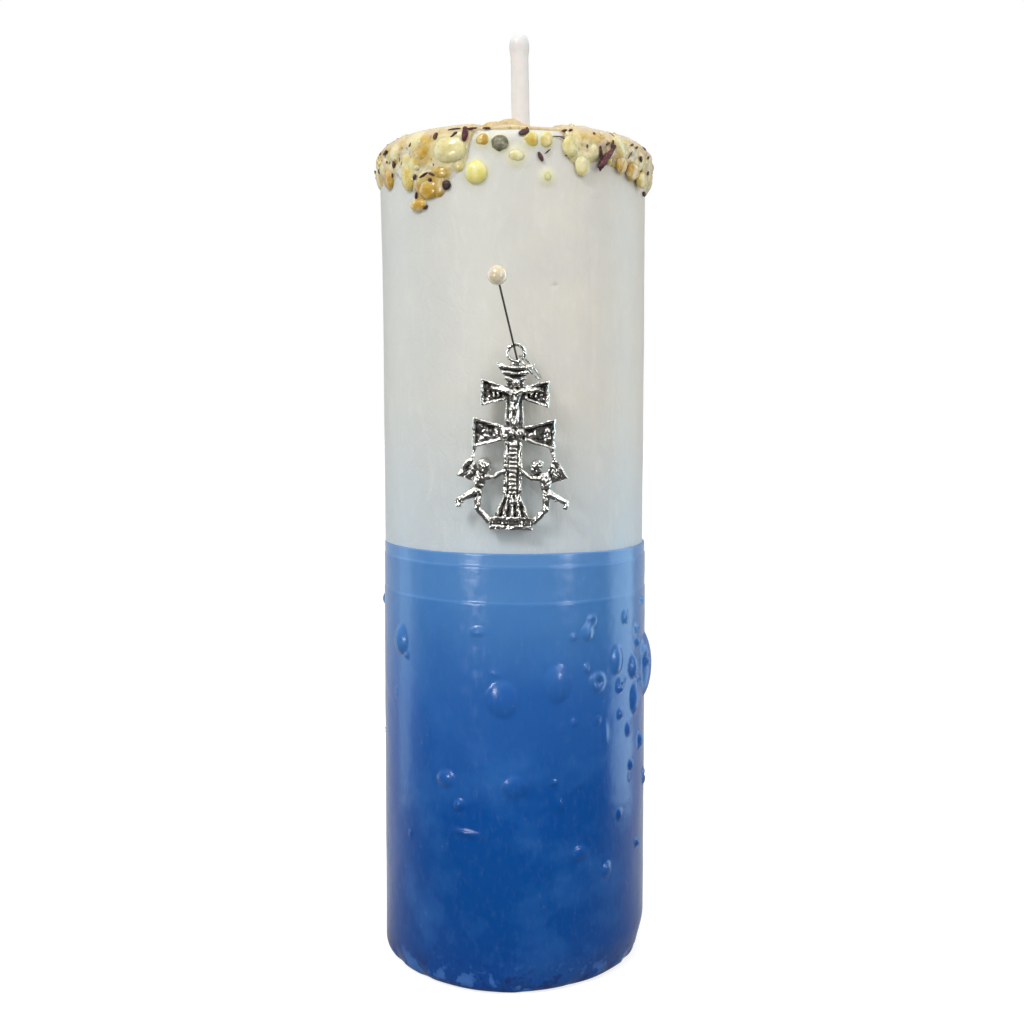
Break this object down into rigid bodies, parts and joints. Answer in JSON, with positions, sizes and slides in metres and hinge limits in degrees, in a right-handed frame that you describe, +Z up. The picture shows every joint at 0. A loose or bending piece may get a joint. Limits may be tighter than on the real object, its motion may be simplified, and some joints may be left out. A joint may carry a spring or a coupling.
{
  "type": "pillar prayer candle",
  "caption": "Pillar prayer candle, white wax dipped in blue, with a resin and petal crust, and a small two-barred cross hung on a pearl-headed pin.",
  "frame": {"origin": "centre of the standing face, on the pillar axis", "axes": "+Z up along the pillar, -Y to the cross on the front, +X to the right seen from the front"},
  "size_m": [0.0639, 0.0854, 0.212],
  "materials": {
    "white_wax": "satin, translucent wax",
    "blue_wax": "glossy dipped wax",
    "wick_wax": "satin wax",
    "cotton": "braided cotton",
    "tin_plate": "plain",
    "crust_wax": "rough wax and resin crumbs",
    "frankincense": "waxy resin",
    "pale_resin": "waxy resin",
    "stuck_bead": "clear waxy resin",
    "amber_resin": "clear resin",
    "myrrh": "dull resin",
    "dark_seed": "dull seed coat",
    "dried_petal": "dry petal",
    "dried_berry": "dull skin",
    "pin_steel": "bright drawn wire",
    "pearl": "pearl bead",
    "cast_silver": "bright casting with dark recesses",
    "ring_wire": "bright wire"
  },
  "bodies": {
    "candle": {"amber_drop_front": "amber_resin", "amber_drop_hanging_tip": "amber_resin", "amber_drop_left_middle": "amber_resin", "amber_lump_back_left": "amber_resin", "amber_lump_back_right": "amber_resin", "amber_lump_hanging": "amber_resin", "amber_lump_left": "amber_resin", "amber_lump_left_low": "amber_resin", "amber_lump_right": "amber_resin", "amber_lump_right_far": "amber_resin", "amber_lump_top_back": "amber_resin", "amber_lump_top_front": "amber_resin", "berry_grey_green": "dried_berry", "blue_dip_coat": "blue_wax", "frankincense_bead_stuck_left": "stuck_bead", "frankincense_chip_stuck_right": "stuck_bead", "frankincense_drip_right_cream": "pale_resin", "frankincense_tear_back": "frankincense", "frankincense_tear_back_left": "pale_resin", "frankincense_tear_back_right": "frankincense", "frankincense_tear_front_left": "frankincense", "frankincense_tear_front_right": "frankincense", "frankincense_tear_left_large": "pale_resin", "frankincense_tear_left_long": "frankincense", "frankincense_tear_right_cream": "pale_resin", "frankincense_tear_right_far": "frankincense", "frankincense_tear_top_left": "frankincense", "frankincense_tear_top_middle": "frankincense", "frankincense_tear_top_right": "pale_resin", "frankincense_tear_under_berry": "pale_resin", "myrrh_lump_top_left": "myrrh", "myrrh_lump_top_right": "myrrh", "myrrh_seed_left": "dark_seed", "myrrh_seed_right": "dark_seed", "petal_curl_left": "dried_petal", "petal_shard_right_long": "dried_petal", "pin_head": "pearl", "pin_shaft": "pin_steel", "resin_crust": "crust_wax", "white_wax_pillar": "white_wax", "wick_core": "cotton", "wick_sustainer": "tin_plate", "wick_wax_sleeve": "wick_wax"},
    "cross": {"cross_casting": "cast_silver"},
    "ring": {"jump_ring": "ring_wire"}
  },
  "joints": [
    {"name": "cross_swing", "type": "hinge", "parent": "candle", "child": "cross", "pos_m": [0.0002, -0.03364, 0.14004], "axis": [0, -0.9984, -0.0567], "range_deg": [-45, 45]},
    {"name": "jump_ring_swing", "type": "hinge", "parent": "cross", "child": "ring", "pos_m": [0.00181, -0.03354, 0.13827], "axis": [-0.6341, 0.0438, -0.772], "range_deg": [0, 38]}
  ]
}
